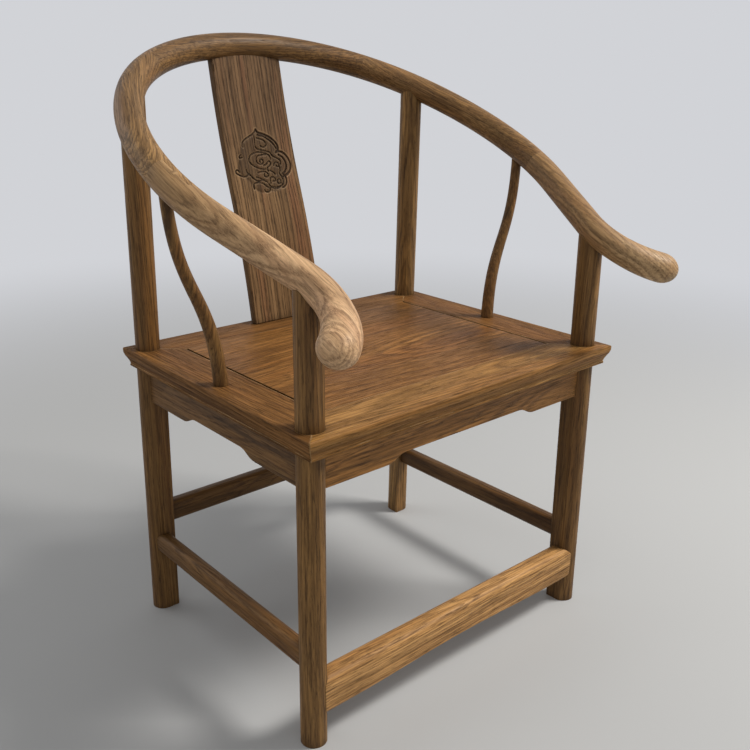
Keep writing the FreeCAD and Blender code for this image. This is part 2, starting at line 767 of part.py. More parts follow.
# The outline beside the centre line by an offset to the back, with a straight piece added at both ends.
def splatFace(offset, below, above):
    faces, tangents = [], []
    for points, bend, end in ((lowerArc, 1, 0), (upperArc, -1, 2)):
        centre = Part.Arc(*points).toShape().Curve.Center
        faces.append([point + (centre - point).normalize() * offset * bend for point in points])
        tangents.append(FreeCAD.Vector(1, 0, 0).cross((centre - points[end]).normalize()) * bend)
    lower, upper = faces
    return [lower[0] - tangents[0] * float(below), lower, upper, upper[2] + tangents[1] * float(above)]


def addSplatBoard(name, thickness, width, below, above):
    edges = []
    faces = [splatFace(offset * float(thickness) / 2, below, above) for offset in (-1, 1)]
    for first, lower, upper, last in faces:
        edges += [Part.LineSegment(first, lower[0]).toShape(), Part.Arc(*lower).toShape(),
                  Part.Arc(*upper).toShape(), Part.LineSegment(upper[2], last).toShape()]
    (frontFirst, _, _, frontLast), (backFirst, _, _, backLast) = faces
    edges += [Part.LineSegment(frontFirst, backFirst).toShape(),
              Part.LineSegment(frontLast, backLast).toShape()]
    profile = document.addObject("Part::Feature", name + "Profile")
    profile.Shape = Part.Face(Part.Wire(Part.__sortEdges__(edges)))
    item = document.addObject("Part::Extrusion", name)
    item.Base = profile
    item.DirMode = "Custom"
    item.Dir = FreeCAD.Vector(1, 0, 0)
    item.Symmetric = True
    item.Solid = True
    bind(item, {"LengthFwd": width})
    return item


splatBlank = addSplatBoard("splatBlank", size.splatThickness, size.splatFootWidth, size.overrun, railRadius)
splatTenon = addSplatBoard("splatTenon", size.splatTenonThickness, size.splatTenonWidth,
                           size.splatTenonLength, size.splatTenonLength)
splatTaper = addPrism("splatTaper", "XZ_Plane", [
    (-size.splatFootWidth / 2, size.seatHeight), (size.splatFootWidth / 2, size.seatHeight),
    (size.splatTopWidth / 2, size.chairHeight), (-size.splatTopWidth / 2, size.chairHeight),
], size.seatDepth * 2)
crestSpace = addRing("crestSpace", crestArc, -crestScarf, crestScarf, 1, railRadius + size.jointClearance)
splatBody = addCut("splatBody", addCommon("splatTapered", splatBlank, splatTaper), crestSpace)
nodes["back_splat"] = addFuse("splatWhole", splatBody, splatTenon)


# Frame members, with every mortise, groove and hole that the other pieces need.
for end, along in (("front", -1), ("rear", 1)):
    name = f"seat_{end}_rail"
    length = size.seatWidth + size.overrun * 4
    stick = addPrism(name + "Stick", "YZ_Plane", railProfile(innerHalfDepth, along), length)
    mitre = addPrism(name + "Mitre", "XY_Plane", mitreCorners(halfWidth, halfDepth, along),
                     (size.seatHeight + size.overrun) * 2)
    tools = [item[end, word] for item in (legSpaces, cornerTenons) for word in sides]
    tools += [*battenTenons.values(), apronTongues[f"{end}_apron"]]
    if end == "rear":
        tools.append(splatTenon)
    nodes[name] = addCut(name, addCommon(name + "Mitred", stick, mitre), *tools)

for word, side in sides.items():
    name = f"seat_{word}_rail"
    length = size.seatDepth + size.overrun * 4
    stick = addPrism(name + "Stick", "XZ_Plane", railProfile(innerHalfWidth, side), length)
    corners = [(x, y) for y, x in mitreCorners(halfDepth, halfWidth, side)]
    mitre = addPrism(name + "Mitre", "XY_Plane", corners, (size.seatHeight + size.overrun) * 2)
    mitred = addCommon(name + "Mitred", stick, mitre)
    tenoned = addFuse(name + "Tenoned", mitred, *(cornerTenons[end, word] for end in ("front", "rear")))
    tools = [legSpaces["front", word], legSpaces["rear", word], apronTongues[f"{word}_apron"],
             sidePostSockets[word]]
    nodes[name] = addCut(name, tenoned, *tools)


# A scarf: the timbers lap each other side by side over the lap length, and a square pin goes through both.
# The frame of a scarf has x along the rail and y outwards.
def scarfFrame(arc, heading, side):
    centre = onPlane(side * arc.centre[0], arc.centre[1])
    point = arc.at(heading, side)
    outward = (point - centre).normalize()
    forward = outward.cross(planeNormal) * side
    return FreeCAD.Placement(point, FreeCAD.Rotation(forward, outward, forward.cross(outward), "ZXY"))


def addScarfBox(name, frame, low, high):
    box = document.addObject("Part::Box", name)
    bind(box, {"Length": high[0] - low[0], "Width": high[1] - low[1], "Height": high[2] - low[2]})
    box.Placement = frame.multiply(FreeCAD.Placement(vector(*low), FreeCAD.Rotation()))
    return box


def addScarf(name, arc, heading, side):
    frame = scarfFrame(arc, heading, side)
    reach, lap, zero = size.railDia, size.scarfLap / 2, asSize(0)
    beyond = lap + reach
    behind = addFuse(
        name + "BackTool",
        addScarfBox(name + "OuterHalf", frame, (-lap, zero, -reach), (beyond, reach, reach)),
        addScarfBox(name + "Ahead", frame, (lap, -reach, -reach), (beyond, zero, reach)))
    ahead = addFuse(
        name + "FrontTool",
        addScarfBox(name + "InnerHalf", frame, (-beyond, -reach, -reach), (lap, zero, reach)),
        addScarfBox(name + "Behind", frame, (-beyond, zero, -reach), (-lap, reach, reach)))
    half = size.scarfPin / 2
    pin = addScarfBox(name + "PinBar", frame, (-half, -half, -reach), (half, half, reach))
    turn = float(size.scarfPin) / arc.radius
    ring = addRing(name + "PinRing", arc, heading - turn, heading + turn, side, railRadius)
    return SimpleNamespace(back=behind, front=ahead, pin=pin, node=addCommon(name + "Pin", pin, ring))


scarfs = {}
for word, side in sides.items():
    scarfs["crest", word] = addScarf(f"crestScarf{word}", crestArc, crestScarf, side)
    scarfs["arm", word] = addScarf(f"armScarf{word}", armArc, armScarf, side)
    nodes[f"crest_pin_{word}"] = scarfs["crest", word].node
    nodes[f"arm_pin_{word}"] = scarfs["arm", word].node

crestBar = addRing("crestBar", crestArc, -crestScarf - crestLap, crestScarf + crestLap, 1, railRadius)
crestTools = [splatTenon]
for word in sides:
    crestTools += [scarfs["crest", word].back, scarfs["crest", word].pin]
nodes["crest_center"] = addCut("crest_center", crestBar, *crestTools)

for word, side in sides.items():
    name = f"crest_shoulder_{word}"
    bar = addFuse(
        name + "Bar",
        addRing(name + "Back", crestArc, crestScarf - crestLap, crestArc.stop, side, railRadius),
        addRing(name + "Bend", shoulderArc, shoulderArc.start, shoulderArc.stop, side, railRadius),
        addRing(name + "Fore", armArc, armArc.start, armScarf + armLap, side, railRadius))
    nodes[name] = addCut(
        name, bar, scarfs["crest", word].front, scarfs["crest", word].pin, scarfs["arm", word].back,
        scarfs["arm", word].pin, postTenonSpaces["rear", word], sidePostMortises[word])


# The hand swells from the round rail to a wider oval with a rounded end.
def addHand(name, side):
    centre = onPlane(side * handArc.centre[0], handArc.centre[1])
    sections, points = [], []
    for count, growth in enumerate(HAND_GROWTH_SHARES):
        heading = handPlain + (handArc.stop - handPlain) * count / (len(HAND_GROWTH_SHARES) - 1)
        point = handArc.at(heading, side)
        across = (point - centre).normalize()
        forward = across.cross(planeNormal) * -side
        oval = document.addObject("Part::Ellipse", f"{name}Oval{count}")
        wide = size.railDia * (1 - growth) + size.handWide * growth
        deep = size.railDia * (1 - growth) + size.handDeep * growth
        bind(oval, {"MajorRadius": wide / 2, "MinorRadius": deep / 2})
        turned = FreeCAD.Rotation(across, forward.cross(across), forward, "ZXY")
        oval.Placement = FreeCAD.Placement(point, turned)
        sections.append(oval)
        points.append((heading, point))
    path = document.addObject("Part::Feature", name + "Path")
    arcs = [Part.Arc(start, handArc.at((first + last) / 2, side), end).toShape()
            for (first, start), (last, end) in zip(points, points[1:])]
    path.Shape = Part.Wire(arcs)
    swell = document.addObject("Part::Sweep", name + "Swell")
    swell.Sections = sections
    swell.Spine = path
    swell.Solid = True
    cap = document.addObject("Part::Ellipsoid", name + "Cap")
    bind(cap, {"Radius1": size.handCap, "Radius2": size.handWide / 2, "Radius3": size.handDeep / 2})
    cap.Angle1 = 0
    cap.Placement = sections[-1].Placement
    return [swell, cap]


for word, side in sides.items():
    name = f"arm_{word}"
    bar = addFuse(
        name + "Bar",
        addRing(name + "Back", armArc, armScarf - armLap, armArc.stop, side, railRadius),
        addStraight(name + "Straight", side, railRadius),
        addRing(name + "Bend", handArc, handArc.start, handPlain, side, railRadius),
        *addHand(name, side))
    nodes[name] = addCut(name, bar, scarfs["arm", word].front, scarfs["arm", word].pin,
                         postTenonSpaces["front", word], sidePostMortises[word])

document.recompute()
for item in document.Objects:
    if "Invalid" in item.State or "Error" in item.State:
        raise RuntimeError(f"{item.Name} did not build: {item.State}")
for name, piece in nodes.items():
    shape = piece.Shape
    if shape.isNull() or not shape.isValid() or len(shape.Solids) != 1:
        raise RuntimeError(f"{name} is not one sound solid: {len(shape.Solids)}")

# The origin comes under the middle of the whole chair: between the back of the crest and the hands.
crestBox = nodes["crest_center"].Shape.optimalBoundingBox()
handBox = nodes["arm_right"].Shape.optimalBoundingBox()
middleY = (crestBox.YMax + handBox.YMin) / 2
os.makedirs("parts", exist_ok=True)
for name, piece in nodes.items():
    piece.Label = name
    piece.Placement = FreeCAD.Placement(FreeCAD.Vector(0, -middleY, 0), FreeCAD.Rotation())
    piece.Shape.exportStep(f"parts/{name}.step")
    print(f"{name}: {piece.Shape.Volume:.0f} mm3")
print(f"{len(nodes)} pieces")
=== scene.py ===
import math
import bpy
import bmesh
from mathutils import Matrix, Vector
from mathutils.bvhtree import BVHTree
from mathutils.kdtree import KDTree


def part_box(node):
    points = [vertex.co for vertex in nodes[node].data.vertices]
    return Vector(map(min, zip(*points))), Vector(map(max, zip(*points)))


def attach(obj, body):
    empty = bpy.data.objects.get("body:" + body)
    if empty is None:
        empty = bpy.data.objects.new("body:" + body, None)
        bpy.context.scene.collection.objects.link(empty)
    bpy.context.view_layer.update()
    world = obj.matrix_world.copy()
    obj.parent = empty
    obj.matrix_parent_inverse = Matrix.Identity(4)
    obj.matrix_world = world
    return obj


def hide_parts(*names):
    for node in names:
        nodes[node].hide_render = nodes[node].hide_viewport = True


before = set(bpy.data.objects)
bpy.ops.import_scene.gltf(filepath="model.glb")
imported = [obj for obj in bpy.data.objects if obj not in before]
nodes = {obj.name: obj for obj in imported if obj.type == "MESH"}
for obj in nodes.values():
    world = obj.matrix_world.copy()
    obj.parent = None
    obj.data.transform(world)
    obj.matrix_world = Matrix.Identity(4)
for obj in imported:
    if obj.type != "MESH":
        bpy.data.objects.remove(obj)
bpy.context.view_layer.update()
print("frame loaded:", len(nodes), "pieces")


# small helpers for node trees
def put(tree, kind, inputs=None, **settings):
    made = tree.nodes.new(kind)
    for key, value in settings.items():
        setattr(made, key, value)
    for key, value in (inputs or {}).items():
        socket = made.inputs[key]
        if isinstance(value, bpy.types.NodeSocket):
            tree.links.new(value, socket)
        else:
            socket.default_value = value
    return made


def calc(tree, operation, first, second=0.0, third=0.0, clamp=False):
    made = put(tree, "ShaderNodeMath", {0: first, 1: second, 2: third}, operation=operation)
    made.use_clamp = clamp
    return made.outputs[0]


def spread(tree, value, low, high, newLow=0.0, newHigh=1.0, smooth=False):
    # the span from low to high, stretched over newLow to newHigh
    kind = "SMOOTHSTEP" if smooth else "LINEAR"
    made = put(tree, "ShaderNodeMapRange",
               {"Value": value, "From Min": low, "From Max": high, "To Min": newLow, "To Max": newHigh},
               interpolation_type=kind)
    return made.outputs[0]


def blendColors(tree, factor, first, second, mode="MIX"):
    made = put(tree, "ShaderNodeMix", {0: factor, 6: first, 7: second}, data_type="RGBA",
               blend_type=mode)
    return made.outputs[2]


def layOver(tree, color, mask, strength, over):
    # a colour laid over another where the mask is strong
    return blendColors(tree, calc(tree, "MULTIPLY", mask, strength, clamp=True), color, over)


def cloud(tree, vector, repeat, detail, rough):
    # noise whose blobs are long along x, the way the grain runs; repeat is per metre, along and across
    along, across = repeat
    mapped = put(tree, "ShaderNodeMapping", {"Vector": vector, "Scale": (along, across, across)})
    return put(tree, "ShaderNodeTexNoise",
               {"Vector": mapped.outputs[0], "Scale": 1.0, "Detail": detail, "Roughness": rough})


def veil(tree, vector, noise):
    # one of the noises below, as a mask from 0 to 1
    made = cloud(tree, vector, noise["repeat"], noise["detail"], noise["rough"])
    return spread(tree, made.outputs[0], *noise["span"], smooth=noise.get("smooth", False))


def newGroup(name, takes, gives):
    tree = bpy.data.node_groups.new(name, "ShaderNodeTree")
    for label, kind in takes:
        tree.interface.new_socket(name=label, in_out="INPUT", socket_type=kind)
    for label, kind in gives:
        tree.interface.new_socket(name=label, in_out="OUTPUT", socket_type=kind)
    return tree, tree.nodes.new("NodeGroupInput").outputs, tree.nodes.new("NodeGroupOutput").inputs


# what all the timbers share: noises by how often they repeat in a metre, along and across the grain
timberNoise = {
    "fibres": {"repeat": (8.0, 310.0), "detail": 5.0, "rough": 0.62, "span": (0.42, 0.61)},
    "blush": {"repeat": (1.6, 28.0), "detail": 3.0, "rough": 0.6, "span": (0.48, 0.62), "smooth": True},
    "coarse": {"repeat": (2.4, 62.0), "detail": 4.0, "rough": 0.6, "span": (0.36, 0.66)},
    "dashes": {"repeat": (38.0, 900.0), "detail": 2.0, "rough": 0.5, "span": (0.44, 0.6)},
    "longPores": {"repeat": (24.0, 430.0), "detail": 2.0, "rough": 0.55, "span": (0.56, 0.66)},
    "pores": {"repeat": (70.0, 1500.0), "detail": 2.0, "rough": 0.5, "span": (0.58, 0.68)},
    "mottle": {"repeat": (2.4, 15.0), "detail": 3.0, "rough": 0.5, "span": (0.32, 0.68)},
    "stain": {"repeat": (1.3, 38.0), "detail": 5.0, "rough": 0.62, "span": (0.53, 0.7), "smooth": True},
}
rings = {
    "slowBend": (2.6, 9.0), "quickBend": (26.0, 120.0), "bendDetail": 2.0, "bendRough": 0.5,
    "goodYearScale": 0.45, "goodYearDetail": 2.0, "goodYears": 2.2,   # wide and narrow years
    "toneScale": 0.7, "toneDetail": 1.0, "toneSpan": (0.35, 0.65), "toneShift": (-0.15, 0.45),
    "profile": ((0.16, 1.0), (0.32, 0.35), (0.45, 0.05), (0.86, 0.0), (0.95, 0.5)),   # dark, then clear
    "solidPart": 0.6, "dashedPart": 0.4,   # how far the dark line of a ring breaks into dashes
}
timberMix = {
    "mottle": 0.7, "blush": 0.5, "coarse": 0.4, "longPores": 0.6,
    "poresInRing": (0.0, 0.8, 0.35, 1.0),   # ring tone from and to, share of the pores from and to
    "rough": 0.46, "fibreRough": 0.1, "poreRough": 0.2, "mottleRough": -0.08,
    "fibreHeight": -0.35, "ringDepth": 0.5,
}


# ring-porous timber, its length along x: growth rings about the pith, the open pores at the start of
# each ring dark with old wax, fibres, stray pores and dark streaks
def makeTimberGroup():
    tree, take, give = newGroup("timberFigure", [
        ("Vector", "NodeSocketVector"), ("Ring Width", "NodeSocketFloat"), ("Wander", "NodeSocketFloat"),
        ("Ripple", "NodeSocketFloat"), ("Figure", "NodeSocketFloat"), ("Streaks", "NodeSocketFloat"),
        ("Pores", "NodeSocketFloat"), ("Fibres", "NodeSocketFloat"),
        ("Pale", "NodeSocketColor"), ("Mid", "NodeSocketColor"), ("Deep", "NodeSocketColor"),
        ("Stain", "NodeSocketColor"), ("Blush", "NodeSocketColor"),
    ], [("Color", "NodeSocketColor"), ("Roughness", "NodeSocketFloat"), ("Height", "NodeSocketFloat")])
    vector = take["Vector"]

    # the rings, bent slowly and then quickly
    bent = vector
    for repeat, size in ((rings["slowBend"], take["Wander"]), (rings["quickBend"], take["Ripple"])):
        drift = cloud(tree, vector, repeat, rings["bendDetail"], rings["bendRough"]).outputs["Color"]
        centred = put(tree, "ShaderNodeVectorMath", {0: drift, 1: (0.5, 0.5, 0.5)}, operation="SUBTRACT")
        sized = put(tree, "ShaderNodeVectorMath", {0: centred.outputs[0], "Scale": size}, operation="SCALE")
        bent = put(tree, "ShaderNodeVectorMath", {0: bent, 1: sized.outputs[0]}, operation="ADD").outputs[0]
    parts = put(tree, "ShaderNodeSeparateXYZ", {0: bent})
    across, deep = parts.outputs["Y"], parts.outputs["Z"]
    squares = calc(tree, "ADD", calc(tree, "MULTIPLY", across, across), calc(tree, "MULTIPLY", deep, deep))
    years = calc(tree, "DIVIDE", calc(tree, "SQRT", squares), take["Ring Width"])
    goodYears = put(tree, "ShaderNodeTexNoise",
                    {"W": years, "Scale": rings["goodYearScale"], "Detail": rings["goodYearDetail"]},
                    noise_dimensions="1D").outputs[0]
    years = calc(tree, "ADD", years, calc(tree, "MULTIPLY", goodYears, rings["goodYears"]))
    yearTone = put(tree, "ShaderNodeTexNoise",
                   {"W": years, "Scale": rings["toneScale"], "Detail": rings["toneDetail"]},
                   noise_dimensions="1D").outputs[0]
    ramp = put(tree, "ShaderNodeValToRGB", {0: calc(tree, "FRACT", years)})
    stops = ramp.color_ramp.elements
    stops[0].position, stops[0].color = 0.0, (1, 1, 1, 1)
    stops[1].position, stops[1].color = 1.0, (1, 1, 1, 1)
    for place, tone in rings["profile"]:
        stops.new(place).color = (tone, tone, tone, 1)
    early = ramp.outputs[0]

    # masks
    fibres, blush, coarse, dashes, longPores, pores, mottle, stain = (
        veil(tree, vector, timberNoise[name])
        for name in ("fibres", "blush", "coarse", "dashes", "longPores", "pores", "mottle", "stain"))
    pores = calc(tree, "MULTIPLY", pores, spread(tree, early, *timberMix["poresInRing"]))
    pores = calc(tree, "MAXIMUM", pores, calc(tree, "MULTIPLY", longPores, timberMix["longPores"]))
    yearShift = spread(tree, yearTone, *rings["toneSpan"], *rings["toneShift"])
    tone = calc(tree, "ADD", calc(tree, "MULTIPLY", mottle, timberMix["mottle"]), yearShift, clamp=True)
    broken = calc(tree, "MULTIPLY_ADD", dashes, rings["dashedPart"], rings["solidPart"])
    openPores = calc(tree, "MULTIPLY", early, broken)

    # colour, roughness and height
    color = blendColors(tree, tone, take["Pale"], take["Mid"])
    for mask, strength, over in ((blush, timberMix["blush"], "Blush"), (coarse, timberMix["coarse"], "Mid"),
                                 (openPores, take["Figure"], "Deep"), (fibres, take["Fibres"], "Deep"),
                                 (stain, take["Streaks"], "Stain"), (pores, take["Pores"], "Stain")):
        color = layOver(tree, color, mask, strength, take[over])
    rough = calc(tree, "ADD", calc(tree, "MULTIPLY", fibres, timberMix["fibreRough"]),
                 calc(tree, "MULTIPLY", pores, timberMix["poreRough"]))
    rough = calc(tree, "ADD", rough, calc(tree, "MULTIPLY", mottle, timberMix["mottleRough"]))
    height = calc(tree, "SUBTRACT", calc(tree, "MULTIPLY", fibres, timberMix["fibreHeight"]),
                  calc(tree, "MULTIPLY", openPores, timberMix["ringDepth"]))
    tree.links.new(color, give["Color"])
    tree.links.new(calc(tree, "ADD", rough, timberMix["rough"]), give["Roughness"])
    tree.links.new(calc(tree, "SUBTRACT", height, pores), give["Height"])
    return tree


handled = {
    "wornPatches": {"repeat": (30.0, 60.0), "detail": 4.0, "rough": 0.6, "span": (0.35, 0.62)},
    "edgeTurn": (0.01, 0.2),     # how far the softened normal turns where wear starts and is full
    "cornerOpen": (0.9, 0.25),   # how open a corner is where its painted shade and wax start and are full
    "samples": 6,
}


# softened edges, their wear, and painted shade with dark wax in the corners, from their occlusion
def makeWearGroup():
    tree, take, give = newGroup("handledEdges", [
        ("Radius", "NodeSocketFloat"), ("Corner Reach", "NodeSocketFloat"), ("Vector", "NodeSocketVector"),
    ], [("Edge", "NodeSocketFloat"), ("Corner", "NodeSocketFloat"), ("Normal", "NodeSocketVector")])
    soft = put(tree, "ShaderNodeBevel", {"Radius": take["Radius"]}, samples=handled["samples"])
    plain = put(tree, "ShaderNodeNewGeometry")
    same = put(tree, "ShaderNodeVectorMath", {0: soft.outputs[0], 1: plain.outputs["Normal"]},
               operation="DOT_PRODUCT")
    turned = calc(tree, "SUBTRACT", 1.0, same.outputs["Value"])
    patches = veil(tree, take["Vector"], handled["wornPatches"])
    edge = calc(tree, "MULTIPLY", spread(tree, turned, *handled["edgeTurn"]), patches, clamp=True)
    shade = put(tree, "ShaderNodeAmbientOcclusion", {"Distance": take["Corner Reach"]},
                samples=handled["samples"])
    corner = spread(tree, shade.outputs["AO"], *handled["cornerOpen"])
    tree.links.new(edge, give["Edge"])
    tree.links.new(corner, give["Corner"])
    tree.links.new(soft.outputs[0], give["Normal"])
    return tree


timberGroup = makeTimberGroup()
wearGroup = makeWearGroup()
print("timber and wear groups made")

# A look: ring width, wander, ripple, edge radius, corner reach and bump depth in metres, strengths from
# 0 to 1, and colours. Pale and Mid are the ground, Blush its warmer patches, Deep the rings and fibres,
# Stain the pores, streaks and the painted shade in corners, Worn the edges. Dull is added to the
# roughness. The end colour multiplies a timber towards one end, paler or darker: painted light and shade
# on the rail and splat, a plain darkening on the front legs.
baseLook = {
    "Ring Width": 0.0042, "Wander": 0.03, "Ripple": 0.003,
    "Figure": 0.6, "Streaks": 0.65, "Pores": 0.85, "Fibres": 0.6,
    "Pale": (0.34, 0.18, 0.055), "Mid": (0.18, 0.088, 0.024), "Deep": (0.065, 0.029, 0.008),
    "Stain": (0.022, 0.01, 0.003), "Blush": (0.24, 0.098, 0.026), "Worn": (0.46, 0.27, 0.1),
    "Edge Radius": 0.0018, "Edge Wear": 0.5, "Edge Polish": 0.08,
    "Corner Reach": 0.02, "Corner Shade And Wax": 0.6,
    "Dull": 0.0, "Gloss": 0.22, "Bump": 0.5, "Bump Depth": 0.0004,
    "End Light And Tone": (1.5, 1.55, 1.65),
}
ragged = {"repeat": (6.0, 45.0), "detail": 3.0, "rough": 0.6, "reach": 0.16}   # border of the painted light and tone at an end
cutDarkness = 0.95    # how dark the cut lines of a carving are
usualLean = 0.03   # radians


# A grain: "along" is the way the fibres run, "face" the broad face, "pith" how far the heart of the tree
# lies to the side of the piece and behind it, "start" a place along the tree, "lean" how far the fibres
# run out of the face, and a last pair of distances from the piece's middle, where the painted light and
# tone at one end start and are full.
def makeTimber(name, look, grain, centre, carving=None):
    material = bpy.data.materials.new(name)
    material.use_nodes = True
    tree = material.node_tree
    tree.nodes.clear()

    # the piece's place in its tree
    along = Vector(grain["along"]).normalized()
    face = Vector(grain["face"])
    face = (face - along * face.dot(along)).normalized()
    tilt = Matrix.Rotation(grain.get("lean", usualLean), 3, "Y")
    turn = tilt @ Matrix((along, face.cross(along), face))
    start = grain.get("start", 0.0)
    shift = Vector((start, grain["pith"][0], grain["pith"][1])) - turn @ Vector(centre)
    place = put(tree, "ShaderNodeTexCoord")
    mapped = put(tree, "ShaderNodeMapping", {"Vector": place.outputs["Object"], "Location": shift,
                                             "Rotation": turn.to_euler()}).outputs[0]

    # timber, then painted shade and wax in the corners and wear on the edges
    timber = put(tree, "ShaderNodeGroup", node_tree=timberGroup)
    tree.links.new(mapped, timber.inputs["Vector"])
    for label in ("Ring Width", "Wander", "Ripple", "Figure", "Streaks", "Pores", "Fibres"):
        timber.inputs[label].default_value = look[label]
    for label in ("Pale", "Mid", "Deep", "Stain", "Blush"):
        timber.inputs[label].default_value = (*look[label], 1)
    wear = put(tree, "ShaderNodeGroup", node_tree=wearGroup)
    tree.links.new(mapped, wear.inputs["Vector"])
    wear.inputs["Radius"].default_value = look["Edge Radius"]
    wear.inputs["Corner Reach"].default_value = look["Corner Reach"]
    # corners darkened by their occlusion: painted shade, with old wax
    shadeAndWax = calc(tree, "MULTIPLY", wear.outputs["Corner"], look["Corner Shade And Wax"])
    color = blendColors(tree, shadeAndWax, timber.outputs["Color"], (*look["Stain"], 1))
    worn = calc(tree, "MULTIPLY", wear.outputs["Edge"], look["Edge Wear"])
    color = blendColors(tree, worn, color, (*look["Worn"], 1))
    polished = calc(tree, "MULTIPLY", wear.outputs["Edge"], look["Edge Polish"])
    rough = calc(tree, "SUBTRACT", timber.outputs["Roughness"], polished)
    rough = calc(tree, "ADD", rough, look["Dull"])

    # paler or darker towards one end: painted highlight on the hands and the left shoulder, painted shade on
    # the splat's top, a plain darkening on the front legs
    if "endLightAndTone" in grain:
        far = put(tree, "ShaderNodeSeparateXYZ", {0: mapped}).outputs["X"]
        noise = cloud(tree, mapped, ragged["repeat"], ragged["detail"], ragged["rough"]).outputs[0]
        far = calc(tree, "MULTIPLY_ADD", calc(tree, "SUBTRACT", noise, 0.5), ragged["reach"], far)
        near, full = (start + distance for distance in grain["endLightAndTone"])
        endLightAndTone = blendColors(tree, 1.0, color, (*look["End Light And Tone"], 1), "MULTIPLY")
        color = blendColors(tree, spread(tree, far, near, full, smooth=True), color, endLightAndTone)
    if carving:
        # the cut lines darkened, and pale rims beside them: painted highlight, with wear
        cut, rimHighlight = (put(tree, "ShaderNodeAttribute", attribute_name=layer).outputs["Fac"]
                       for layer in carving)
        color = blendColors(tree, calc(tree, "MULTIPLY", rimHighlight, look["Rim Highlight And Wear"]), color, (*look["Worn"], 1))
        color = blendColors(tree, calc(tree, "MULTIPLY", cut, cutDarkness), color, (*look["Stain"], 1))
    bump = put(tree, "ShaderNodeBump", {"Strength": look["Bump"], "Distance": look["Bump Depth"],
                                        "Height": timber.outputs["Height"],
                                        "Normal": wear.outputs["Normal"]})
    shader = put(tree, "ShaderNodeBsdfPrincipled",
                 {"Base Color": color, "Roughness": rough, "Normal": bump.outputs[0],
                  "Specular IOR Level": look["Gloss"]})
    put(tree, "ShaderNodeOutputMaterial", {"Surface": shader.outputs[0]})
    return material


def middle(name):
    low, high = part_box(name)
    return (low + high) / 2


def dress(name, look, grain):
    timber = makeTimber(name + "Timber", {**baseLook, **look}, grain, middle(name))
    nodes[name].material_slots[0].material = timber


def dressAll(pieces):
    for name, (look, grain) in pieces.items():
        dress(name, look, grain)


# legs and posts; the rear right leg is painted paler, standing in for the light on it
legLook = {"Pale": (0.31, 0.165, 0.052), "Mid": (0.155, 0.078, 0.022), "Blush": (0.22, 0.092, 0.024),
           "Streaks": 0.45, "Figure": 0.45, "End Light And Tone": (0.82, 0.8, 0.8)}
litLegLook = {"Pale": (0.46, 0.26, 0.09), "Mid": (0.25, 0.135, 0.042), "Blush": (0.32, 0.15, 0.045),
               "Streaks": 0.4}
legs = {
    "front_leg_left": (legLook, {"along": (0.01, 0.01, 1), "face": (-1, -0.6, 0), "pith": (0.03, 0.075),
                                 "start": 0.1, "endLightAndTone": (0.08, 0.22)}),
    "front_leg_right": (legLook, {"along": (-0.01, 0.02, 1), "face": (-0.2, -1, 0), "pith": (-0.02, 0.06),
                                  "start": 1.3, "endLightAndTone": (0.15, 0.0)}),
    "rear_leg_left": (legLook, {"along": (0.01, -0.01, 1), "face": (-1, 0.2, 0), "pith": (0.04, 0.05),
                                "start": 2.1}),
    "rear_leg_right": (litLegLook, {"along": (-0.01, 0, 1), "face": (-0.6, -1, 0), "pith": (0.01, 0.08),
                                     "start": 3.4}),
}
dressAll(legs)
print("legs dressed")

# seat frame and board; the rear and side rails are painted darker than the front one, standing in for shade
frameLook = {"Pale": (0.47, 0.245, 0.075), "Mid": (0.26, 0.124, 0.032), "Deep": (0.1, 0.044, 0.011),
             "Blush": (0.36, 0.15, 0.04), "Figure": 0.5, "Streaks": 0.3, "Gloss": 0.1,
             "Edge Radius": 0.0028, "Edge Wear": 0.9, "Worn": (0.6, 0.39, 0.19)}
shadedFrameLook = {**frameLook, "Pale": (0.32, 0.15, 0.045), "Mid": (0.165, 0.072, 0.02),
                 "Blush": (0.25, 0.104, 0.03), "Deep": (0.06, 0.026, 0.007), "Dull": 0.1}
seatLook = {"Pale": (0.4, 0.185, 0.052), "Mid": (0.2, 0.087, 0.021), "Deep": (0.07, 0.028, 0.007),
            "Blush": (0.31, 0.12, 0.03), "Figure": 0.6, "Streaks": 0.2, "Gloss": 0.1,
            "Ring Width": 0.006, "Wander": 0.05}
battenLook = {"Corner Shade And Wax": 0.7}
seat = {
    "seat_front_rail": (frameLook, {"along": (1, 0, 0), "face": (0, -0.4, 1), "pith": (0.02, 0.07),
                                    "start": 0.4}),
    "seat_rear_rail": (shadedFrameLook, {"along": (1, 0, 0), "face": (0, 0, 1), "pith": (-0.03, 0.09),
                                       "start": 1.5}),
    "seat_left_rail": (shadedFrameLook, {"along": (0, 1, 0), "face": (-0.3, 0, 1), "pith": (0.03, 0.06),
                                       "start": 2.6}),
    "seat_right_rail": (shadedFrameLook, {"along": (0, 1, 0), "face": (0, 0, 1), "pith": (-0.02, 0.1),
                                        "start": 3.9}),
    "seat_panel": (seatLook, {"along": (1, 0, 0), "face": (0, 0, 1), "pith": (0.05, 0.06),
                              "start": 5.2, "lean": 0.06}),
    "seat_batten_left": (battenLook, {"along": (0, 1, 0), "face": (0, 0, 1), "pith": (0.01, 0.05),
                                      "start": 6.1}),
    "seat_batten_right": (battenLook, {"along": (0, 1, 0), "face": (0, 0, 1), "pith": (0.01, 0.05),
                                       "start": 6.8}),
}
dressAll(seat)
print("seat dressed")

